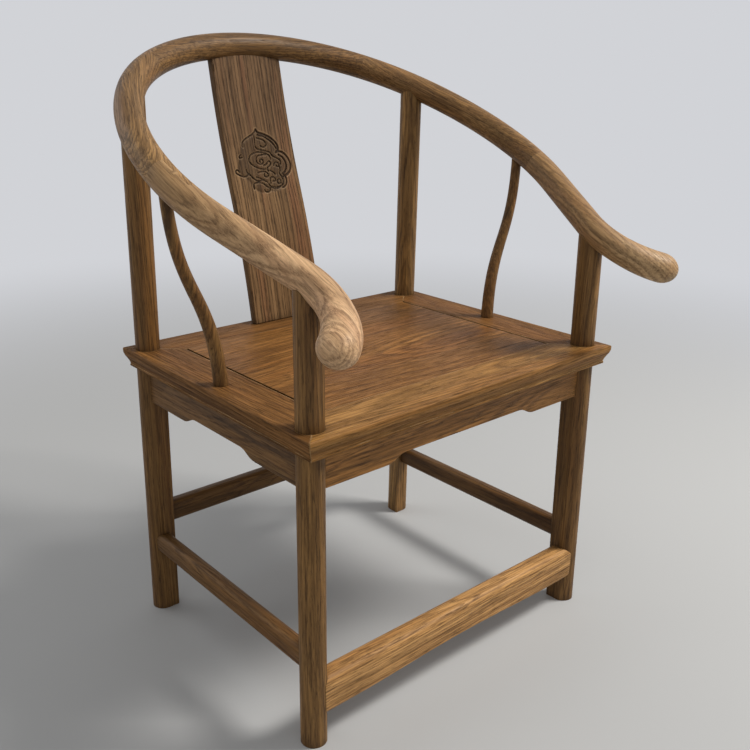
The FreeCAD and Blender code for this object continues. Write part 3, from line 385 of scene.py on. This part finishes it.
# aprons; the front one painted paler, standing in for the light on its face
apronLook = {"Pale": (0.28, 0.145, 0.044), "Mid": (0.145, 0.072, 0.019), "Blush": (0.2, 0.088, 0.024),
             "Corner Shade And Wax": 0.7}
litFrontApronLook = {**apronLook, "Pale": (0.55, 0.26, 0.07), "Mid": (0.3, 0.132, 0.031),
                  "Blush": (0.4, 0.155, 0.038)}
aprons = {
    "front_apron": (litFrontApronLook, {"along": (1, 0, 0), "face": (0, -1, 0), "pith": (0.02, 0.05),
                                     "start": 0.9}),
    "rear_apron": (apronLook, {"along": (1, 0, 0), "face": (0, 1, 0), "pith": (-0.03, 0.06), "start": 1.7}),
    "left_apron": (apronLook, {"along": (0, 1, 0), "face": (-1, 0, 0), "pith": (0.02, 0.06), "start": 2.9}),
    "right_apron": (apronLook, {"along": (0, 1, 0), "face": (1, 0, 0), "pith": (0.01, 0.04), "start": 4.4}),
}
dressAll(aprons)

# stretchers; the front one painted paler, standing in for the light on its top, and the right one painted
# darker, standing in for shade
stretcherLook = {"Pale": (0.27, 0.135, 0.04), "Mid": (0.135, 0.065, 0.017), "Blush": (0.19, 0.076, 0.02)}
shadedStretcherLook = {"Pale": (0.18, 0.09, 0.028), "Mid": (0.09, 0.044, 0.012), "Blush": (0.12, 0.05, 0.014)}
litFootRailLook = {"Pale": (0.74, 0.41, 0.15), "Mid": (0.46, 0.235, 0.075), "Deep": (0.13, 0.058, 0.018),
                "Blush": (0.62, 0.28, 0.085), "Streaks": 0.45}
stretchers = {
    "front_stretcher": (litFootRailLook, {"along": (1, 0, 0), "face": (0, -1, 1), "pith": (0.03, 0.07),
                                       "start": 0.2}),
    "rear_stretcher": (stretcherLook, {"along": (1, 0, 0), "face": (0, -1, 0), "pith": (0.01, 0.05),
                                       "start": 1.1}),
    "left_stretcher": (stretcherLook, {"along": (0, 1, 0), "face": (-1, 0, 0.6), "pith": (-0.02, 0.05),
                                       "start": 2.3}),
    "right_stretcher": (shadedStretcherLook, {"along": (0, 1, 0), "face": (-1, 0, 0.4), "pith": (0.02, 0.06),
                                            "start": 3.2}),
}
dressAll(stretchers)
print("aprons and stretchers dressed")

# rail: each timber is sawn from a straight plank, so its grain runs along the chord; the joints between
# them are edged dark. The crest is painted darker and the arms paler, standing in for shade on the top of
# the rail and light on the arms; the right arm is painted a little darker, and the hands and the left
# shoulder's lower end paler still, as painted highlights.
railLook = {"Figure": 0.8, "Streaks": 0.45, "Ripple": 0.005, "Edge Radius": 0.0007,
            "Worn": (0.045, 0.022, 0.008)}
shadedCrestLook = {**railLook, "Pale": (0.29, 0.156, 0.052), "Mid": (0.155, 0.079, 0.024),
             "Deep": (0.055, 0.026, 0.008), "Blush": (0.2, 0.088, 0.027)}
shoulderLook = {**railLook, "Pale": (0.38, 0.215, 0.08), "Mid": (0.21, 0.114, 0.039),
                "Deep": (0.075, 0.036, 0.011), "Blush": (0.27, 0.128, 0.042)}
litArmLook = {**railLook, "Pale": (0.55, 0.345, 0.165), "Mid": (0.34, 0.2, 0.085),
           "Deep": (0.12, 0.06, 0.023), "Blush": (0.44, 0.235, 0.105), "Figure": 0.55,
           "Ring Width": 0.0075, "Ripple": 0.006, "Streaks": 0.12, "Fibres": 0.42, "Pores": 0.6,
           "End Light And Tone": (1.55, 1.62, 1.95)}
rightArmLook = {**litArmLook, "Pale": (0.44, 0.26, 0.11), "Mid": (0.26, 0.147, 0.058),
                "Deep": (0.09, 0.044, 0.016), "Blush": (0.34, 0.175, 0.07), "End Light And Tone": (1.5, 1.7, 2.1)}
rail = {
    "crest_center": (shadedCrestLook, {"along": (1, 0, 0), "face": (0, -0.4, 1), "pith": (0.04, 0.09),
                                 "start": 0.3}),
    "crest_shoulder_left": (shoulderLook, {"along": (0.42, 0.82, 0.4), "face": (-0.4, -0.2, 1),
                                           "pith": (0.03, 0.08), "start": 1.2, "endLightAndTone": (0.02, -0.2)}),
    "crest_shoulder_right": (shoulderLook, {"along": (-0.42, 0.82, 0.4), "face": (0.4, -0.2, 1),
                                            "pith": (0.01, 0.1), "start": 2.2}),
    "arm_left": (litArmLook, {"along": (-0.05, 0.9, 0.43), "face": (-0.5, -0.2, 1), "pith": (0.02, 0.07),
                           "start": 3.2, "endLightAndTone": (0.2, -0.16)}),
    "arm_right": (rightArmLook, {"along": (0.05, 0.9, 0.43), "face": (0.5, -0.2, 1),
                                 "pith": (-0.02, 0.09), "start": 4.3, "endLightAndTone": (-0.02, -0.2)}),
}
dressAll(rail)

# the pins that lock the scarfs, each in the timber of its rail, and their places along the tree
pins = {"crest_pin_left": (shadedCrestLook, 0.2), "crest_pin_right": (shadedCrestLook, 0.5),
        "arm_pin_left": (litArmLook, 0.8), "arm_pin_right": (rightArmLook, 1.1)}
for name, (look, start) in pins.items():
    dress(name, look, {"along": (1, 0.3, 0), "face": (0, 0, 1), "pith": (0.01, 0.03), "start": start})

sidePostLook = {**legLook, "Edge Wear": 0.0, "Figure": 0.3, "Streaks": 0.5, "Ring Width": 0.006}
sidePosts = {
    "side_post_left": (sidePostLook, {"along": (0.2, 0, 1), "face": (-1, -0.5, 0.2), "pith": (0.02, 0.05),
                                      "start": 2.7}),
    "side_post_right": (sidePostLook, {"along": (-0.2, 0, 1), "face": (-0.2, -1, 0), "pith": (0.03, 0.06),
                                       "start": 3.6}),
}
dressAll(sidePosts)
print("rail and side posts dressed")


# the splat, carved with a lobed scroll in low relief; sizes in metres, shares from 0 to 1
splat = {
    "footHalf": 0.073, "topHalf": 0.0695, "low": 0.4805, "high": 0.93, "thick": 0.014,
    "straightFrom": 0.9, "slopeRows": 8,   # above this height it runs straight on, as its last rows do
    "rim": 0.0016, "rimSteps": 3, "sharpEdge": 1.0,   # rounding, and the angle of the edges that get it
    "carvingHeight": 0.75, "carvingHalf": 0.062, "carvingMargin": 0.001,
    "fineCells": 184, "coarseCells": 5, "tallCells": 18,
    "lineDepth": 0.0024, "lineWidth": 0.0013, "boldWidth": 0.0018, "lineSteps": 16,
    "bulge": 0.0014, "bulgeEdge": 0.006, "bulgeLine": 0.003,   # rise between the strokes, and its slopes
    "shade": 0.5, "shadeEdge": 0.003,   # ground inside the border, as a share of a line's depth and darkness
    "rimHighlightFrom": (1.1, 1.6), "rimHighlightTo": (1.8, 2.6),   # the pale band beside a line, a painted highlight with wear, in line widths
}
# the splat is painted darker towards its top, standing in for the crest's shadow
splatLook = {**baseLook, "Pale": (0.3, 0.175, 0.08), "Mid": (0.165, 0.092, 0.039),
             "Deep": (0.035, 0.017, 0.007), "Blush": (0.25, 0.098, 0.046), "Stain": (0.012, 0.006, 0.002),
             "Figure": 0.75, "Streaks": 0.25, "Fibres": 0.22, "Dull": 0.12, "Gloss": 0.12,
             "Ring Width": 0.0066, "Wander": 0.024, "Ripple": 0.0016, "Edge Radius": 0.0012,
             "End Light And Tone": (0.72, 0.71, 0.76), "Worn": (0.4, 0.26, 0.14), "Rim Highlight And Wear": 0.5}
splatGrain = {"along": (0, 0.28, 1), "face": (0, -1, 0.28), "pith": (0.1, 0.022), "start": 7.4,
              "lean": 0.015, "endLightAndTone": (-0.02, 0.16)}

# the carving's strokes, across and up, in millimetres from its middle
border = [
    (-3, 51), (10, 44), (28, 34), (37, 22), (36, 15), (50, 9), (59, -8), (54, -24), (44, -31), (42, -45),
    (30, -51), (14, -55), (-2, -53), (-12, -57), (-30, -48), (-34, -36), (-46, -27), (-58, -15), (-51, 0),
    (-47, 14), (-40, 27), (-29, 37), (-13, 44),
]
boldLines = [
    [(-3, 51), (-1, 47), (3, 45), (8, 44), (16, 41), (24, 37), (31, 32), (36, 26), (39, 20), (37, 14),
     (31, 11)],
    [(-1, 42), (3, 41), (10, 40), (18, 35), (25, 30), (31, 24), (34, 18)],
    [(33, 13), (40, 13), (49, 9), (56, 0), (59, -10), (56, -20), (48, -27), (38, -30)],
    [(36, 7), (43, 4), (48, -4), (49, -13), (45, -21), (38, -25)],
]
scrollLines = [
    [(-3, 51), (-8, 45), (-17, 41), (-26, 37), (-32, 34), (-36, 29), (-35, 24)],
    [(-9, 42), (-8, 35), (-10, 28), (-9, 21), (-5, 18), (5, 16), (13, 14), (19, 12)],
    [(-4, 37), (5, 35), (12, 31), (15, 26), (11, 22), (5, 21), (1, 24)],
    [(-28, 1), (-27, 7), (-18, 12), (-8, 14), (3, 13), (12, 10), (18, 5), (18, 0)],
    [(-28, 1), (-26, -4), (-19, -9), (-11, -13), (-3, -15), (3, -15)],
    [(9, 9), (2, 9), (-9, 8), (-13, 2), (-12, -4), (-5, -7), (1, -5), (2, 0), (-3, 2), (-7, -1), (-5, -3)],
    [(1, -9), (6, -8), (10, -4), (14, -2), (17, -5), (15, -9), (9, -12), (6, -16), (9, -19)],
    [(19, 12), (22, 6), (28, 3), (35, 0), (39, -5), (37, -9)],
    [(22, -10), (23, -6), (30, -5), (34, -8), (32, -13), (27, -12), (27, -10)],
    [(34, -13), (34, -19), (30, -24), (34, -29), (37, -36), (34, -43), (27, -46), (18, -47), (10, -45)],
    [(40, -26), (44, -32), (43, -40), (38, -47), (32, -48)],
    [(31, -40), (25, -42), (22, -37), (26, -33), (32, -35), (30, -39)],
    [(9, -39), (8, -32), (14, -28), (20, -31), (19, -37), (14, -36)],
    [(-14, -20), (-5, -18), (4, -20), (8, -25), (3, -29), (-3, -26), (-1, -23)],
    [(12, -18), (18, -20), (22, -25)],
    [(-19, -27), (-12, -29), (-5, -33), (2, -37)],
    [(-37, -14), (-36, -20), (-30, -23), (-27, -28), (-20, -33), (-12, -34), (-4, -32)],
    [(-52, -17), (-53, -13), (-58, -13), (-59, -18), (-52, -22), (-44, -25), (-37, -24), (-33, -20)],
    [(-28, -46), (-29, -40), (-24, -36), (-14, -36), (-6, -39), (-2, -44), (4, -46), (6, -49), (1, -53),
     (-6, -53), (-7, -49)],
    [(4, -40), (7, -45), (13, -48), (21, -49), (28, -46)],
    [(-42, 11), (-47, 9), (-45, 5), (-41, 7)],
]


def smoothLine(points):
    # a NURBS that follows the given corners, read back as close points
    curve = bpy.data.curves.new("carvedLine", "CURVE")
    line = curve.splines.new("NURBS")
    line.points.add(len(points) - 1)
    for point, (x, z) in zip(line.points, points):
        point.co = (x / 1000, 0, z / 1000, 1)
    line.order_u = 3
    line.use_endpoint_u = True
    line.resolution_u = splat["lineSteps"]
    carrier = bpy.data.objects.new("carvedLine", curve)
    mesh = bpy.data.meshes.new_from_object(carrier)
    found = [vertex.co.copy() for vertex in mesh.vertices]
    bpy.data.objects.remove(carrier)
    bpy.data.curves.remove(curve)
    bpy.data.meshes.remove(mesh)
    return found


def inside(point, ring):
    odd = False
    for first, second in zip(ring, ring[1:] + ring[:1]):
        if (first.z > point.z) != (second.z > point.z):
            crossing = first.x + (point.z - first.z) * (second.x - first.x) / (second.z - first.z)
            odd = odd != (point.x < crossing)
    return odd


def treeOf(lines):
    tree = KDTree(sum(len(line) for line in lines))
    for line in lines:
        for point in line:
            tree.insert(point, 0)
    tree.balance()
    return tree


def between(value, low, high):
    # how far a value has come from low to high, from 0 to 1
    return min(max((value - low) / (high - low), 0.0), 1.0)


def bandPlace(cell, total, coarse, ends, band):
    # the place of a grid line: coarse cells outside the carved band, fine ones in it
    if cell <= coarse:
        return ends[0] + (band[0] - ends[0]) * cell / coarse
    if cell >= total - coarse:
        return band[1] + (ends[1] - band[1]) * (cell - total + coarse) / coarse
    return band[0] + (band[1] - band[0]) * (cell - coarse) / (total - coarse - coarse)


def frontCurve(total):
    # height and depth of the board's front at each row, rayed from the CAD board
    board = BVHTree.FromObject(nodes["back_splat"], bpy.context.evaluated_depsgraph_get())
    band = (splat["carvingHeight"] - splat["carvingHalf"], splat["carvingHeight"] + splat["carvingHalf"])
    curve = []
    for row in range(total + 1):
        z = bandPlace(row, total, splat["tallCells"], (splat["low"], splat["high"]), band)
        hit = board.ray_cast(Vector((0, -1, z)), Vector((0, 1, 0)))[0]
        curve.append((z, hit.y if hit else None))
    known = [(z, y) for z, y in curve if y is not None and z < splat["straightFrom"]]
    (lowZ, lowY), (topZ, topY) = known[-splat["slopeRows"]], known[-1]
    slope = (topY - lowY) / (topZ - lowZ)
    return [(z, topY + slope * (z - topZ)) if z >= splat["straightFrom"] or y is None else (z, y)
            for z, y in curve]


def bendSheet(bm):
    # a grid laid on the board's front
    fine, coarse, tall = splat["fineCells"], splat["coarseCells"], splat["tallCells"]
    half = splat["carvingHalf"]
    bmesh.ops.create_grid(bm, x_segments=fine + 2 * coarse, y_segments=fine + 2 * tall, size=1)
    columns = sorted({round(vertex.co.x, 5) for vertex in bm.verts})
    rows = sorted({round(vertex.co.y, 5) for vertex in bm.verts})
    columnOf = {value: count for count, value in enumerate(columns)}
    rowOf = {value: count for count, value in enumerate(rows)}
    front = frontCurve(len(rows) - 1)
    for vertex in bm.verts:
        z, y = front[rowOf[round(vertex.co.y, 5)]]
        narrowing = (splat["topHalf"] - splat["footHalf"]) * between(z, splat["low"], splat["high"])
        wide = splat["footHalf"] + narrowing
        x = bandPlace(columnOf[round(vertex.co.x, 5)], len(columns) - 1, coarse, (-wide, wide),
                      (-half, half))
        vertex.co = (x, y, z)


def carve(front, out, cut, rimHighlight):
    # cuts the strokes into the front, and lifts the ground between them inside the border
    ring = smoothLine(border + border[:1])
    edges = treeOf([ring])
    bold = treeOf([smoothLine(points) for points in boldLines])
    lines = treeOf([smoothLine(points) for points in scrollLines])
    for vertex in front:
        flat = Vector((vertex.co.x, 0, vertex.co.z - splat["carvingHeight"]))
        if max(abs(flat.x), abs(flat.z)) > splat["carvingHalf"] - splat["carvingMargin"]:
            continue
        near, nearBold, fromEdge = lines.find(flat)[2], bold.find(flat)[2], edges.find(flat)[2]
        lineWidths, boldWidths = near / splat["lineWidth"], nearBold / splat["boldWidth"]
        groove = max(math.exp(-lineWidths ** 2), math.exp(-boldWidths ** 2))
        rise = 0.0
        if inside(flat, ring):
            rise = splat["bulge"] * between(fromEdge, 0.0, splat["bulgeEdge"])
            rise *= between(min(near, nearBold), 0.0, splat["bulgeLine"])
            groove = max(groove, splat["shade"] * between(fromEdge, 0.0, splat["shadeEdge"]))
        vertex.co += out[vertex.index] * (rise - splat["lineDepth"] * groove)
        vertex[cut] = groove
        # a pale band beside each line, a painted highlight with wear
        apart = min(lineWidths, boldWidths)
        vertex[rimHighlight] = between(apart, *splat["rimHighlightFrom"]) * (1 - between(apart, *splat["rimHighlightTo"]))


def makeSplat():
    bm = bmesh.new()
    cut = bm.verts.layers.float.new("carving")
    rimHighlight = bm.verts.layers.float.new("rimHighlightAndWear")
    bendSheet(bm)
    bmesh.ops.recalc_face_normals(bm, faces=bm.faces[:])
    bm.normal_update()
    out = {vertex.index: vertex.normal.copy() * (-1 if vertex.normal.y > 0 else 1) for vertex in bm.verts}
    front = bm.verts[:]
    grown = bmesh.ops.extrude_face_region(bm, geom=bm.faces[:], use_keep_orig=True)
    bm.normal_update()
    for part in grown["geom"]:
        if isinstance(part, bmesh.types.BMVert):
            part.co.y += splat["thick"]
    carve(front, out, cut, rimHighlight)
    bmesh.ops.recalc_face_normals(bm, faces=bm.faces[:])
    bm.normal_update()
    sharp = [edge for edge in bm.edges
             if len(edge.link_faces) == 2 and edge.calc_face_angle() > splat["sharpEdge"]]
    bmesh.ops.bevel(bm, geom=sharp, offset=splat["rim"], offset_type="OFFSET", affect="EDGES",
                    segments=splat["rimSteps"], profile=0.5, material=-1)
    for face in bm.faces:
        face.smooth = True
    mesh = bpy.data.meshes.new("splatBoard")
    bm.to_mesh(mesh)
    bm.free()
    piece = bpy.data.objects.new("splatBoard", mesh)
    bpy.context.scene.collection.objects.link(piece)
    timber = makeTimber("splatTimber", splatLook, splatGrain, middle("back_splat"), ("carving", "rimHighlightAndWear"))
    mesh.materials.append(timber)
    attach(piece, "root")
    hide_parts("back_splat")


makeSplat()
print("splat carved")

# floor that fades to the plain backdrop colour, the backdrop itself in the world, and three soft lamps
studio = {"floor": (0.46, 0.47, 0.48), "floorRough": 0.75, "floorSize": 24.0, "floorSides": 96,
          "fadeFrom": 1.0, "fadeTo": 3.2, "backdrop": (0.64, 0.65, 0.68),
          "worldColor": (1.0, 0.99, 0.97), "worldLight": 0.38}
lamps = {
    "windowLight": {"place": (1.7, -1.3, 2.9), "aim": (0, 0, 0.45), "wide": 0.9, "power": 102,
                    "color": (1.0, 0.96, 0.9)},
    "roomLight": {"place": (-2.0, -1.6, 1.6), "aim": (0, 0, 0.5), "wide": 1.8, "power": 5,
                  "color": (1.0, 0.99, 0.97)},
    "backLight": {"place": (-1.4, 2.4, 2.1), "aim": (0, 0, 0.5), "wide": 1.8, "power": 15,
                  "color": (1.0, 0.98, 0.95)},
}


def seesBackdrop(tree):
    path = put(tree, "ShaderNodeLightPath").outputs
    mirrored = calc(tree, "MAXIMUM", path["Is Glossy Ray"], path["Is Transmission Ray"])
    return calc(tree, "MAXIMUM", path["Is Camera Ray"], mirrored)


def makeFloor():
    bm = bmesh.new()
    bmesh.ops.create_circle(bm, cap_ends=True, segments=studio["floorSides"], radius=studio["floorSize"])
    mesh = bpy.data.meshes.new("studioFloor")
    bm.to_mesh(mesh)
    bm.free()
    floor = bpy.data.objects.new("studioFloor", mesh)
    bpy.context.scene.collection.objects.link(floor)
    material = bpy.data.materials.new("paleFloor")
    material.use_nodes = True
    tree = material.node_tree
    tree.nodes.clear()
    place = put(tree, "ShaderNodeTexCoord")
    far = put(tree, "ShaderNodeVectorMath", {0: place.outputs["Object"]}, operation="LENGTH")
    fade = spread(tree, far.outputs["Value"], studio["fadeFrom"], studio["fadeTo"], smooth=True)
    shown = calc(tree, "MULTIPLY", fade, seesBackdrop(tree))
    shader = put(tree, "ShaderNodeBsdfPrincipled",
                 {"Base Color": (*studio["floor"], 1), "Roughness": studio["floorRough"]})
    glow = put(tree, "ShaderNodeEmission", {"Color": (*studio["backdrop"], 1), "Strength": 1.0})
    mixed = put(tree, "ShaderNodeMixShader", {0: shown, 1: shader.outputs[0], 2: glow.outputs[0]})
    put(tree, "ShaderNodeOutputMaterial", {"Surface": mixed.outputs[0]})
    mesh.materials.append(material)


def makeWorld():
    world = bpy.data.worlds.new("studioWorld")
    bpy.context.scene.world = world
    world.use_nodes = True
    tree = world.node_tree
    tree.nodes.clear()
    light = put(tree, "ShaderNodeBackground",
                {"Color": (*studio["worldColor"], 1), "Strength": studio["worldLight"]})
    plain = put(tree, "ShaderNodeBackground", {"Color": (*studio["backdrop"], 1), "Strength": 1.0})
    mixed = put(tree, "ShaderNodeMixShader",
                {0: seesBackdrop(tree), 1: light.outputs[0], 2: plain.outputs[0]})
    put(tree, "ShaderNodeOutputWorld", {"Surface": mixed.outputs[0]})


def addSoftLight(name, lamp):
    data = bpy.data.lights.new(name, "AREA")
    data.shape = "SQUARE"
    data.size = lamp["wide"]
    data.energy = lamp["power"]
    data.color = lamp["color"]
    placed = bpy.data.objects.new(name, data)
    bpy.context.scene.collection.objects.link(placed)
    placed.location = lamp["place"]
    toward = Vector(lamp["aim"]) - Vector(lamp["place"])
    placed.rotation_euler = toward.to_track_quat("-Z", "Y").to_euler()


makeFloor()
makeWorld()
for name, lamp in lamps.items():
    addSoftLight(name, lamp)
print("studio ready")

# camera at the photograph's place; angles in degrees, lens and sensor in millimetres
view = {"azimuth": -40.17, "elevation": 19.88, "roll": 0.35, "lens": 42.43, "sensor": 36,
        "place": (-0.903, -1.0398, 0.917), "shift": (0.032, 0.0053)}


def makeCamera():
    azimuth, elevation = math.radians(view["azimuth"]), math.radians(view["elevation"])
    back = Vector((math.sin(azimuth) * math.cos(elevation), -math.cos(azimuth) * math.cos(elevation),
                   math.sin(elevation)))
    level = Vector((0, 0, 1)).cross(back).normalized()
    right = Matrix.Rotation(math.radians(view["roll"]), 3, back) @ level
    data = bpy.data.cameras.new("photoCamera")
    data.sensor_width = view["sensor"]
    data.lens = view["lens"]
    data.shift_x, data.shift_y = view["shift"]
    camera = bpy.data.objects.new("photoCamera", data)
    bpy.context.scene.collection.objects.link(camera)
    pose = Matrix((right, back.cross(right), back)).transposed().to_4x4()
    pose.translation = Vector(view["place"])
    camera.matrix_world = pose
    bpy.context.scene.camera = camera


makeCamera()
bpy.context.scene.view_settings.view_transform = "Standard"
print("camera placed")
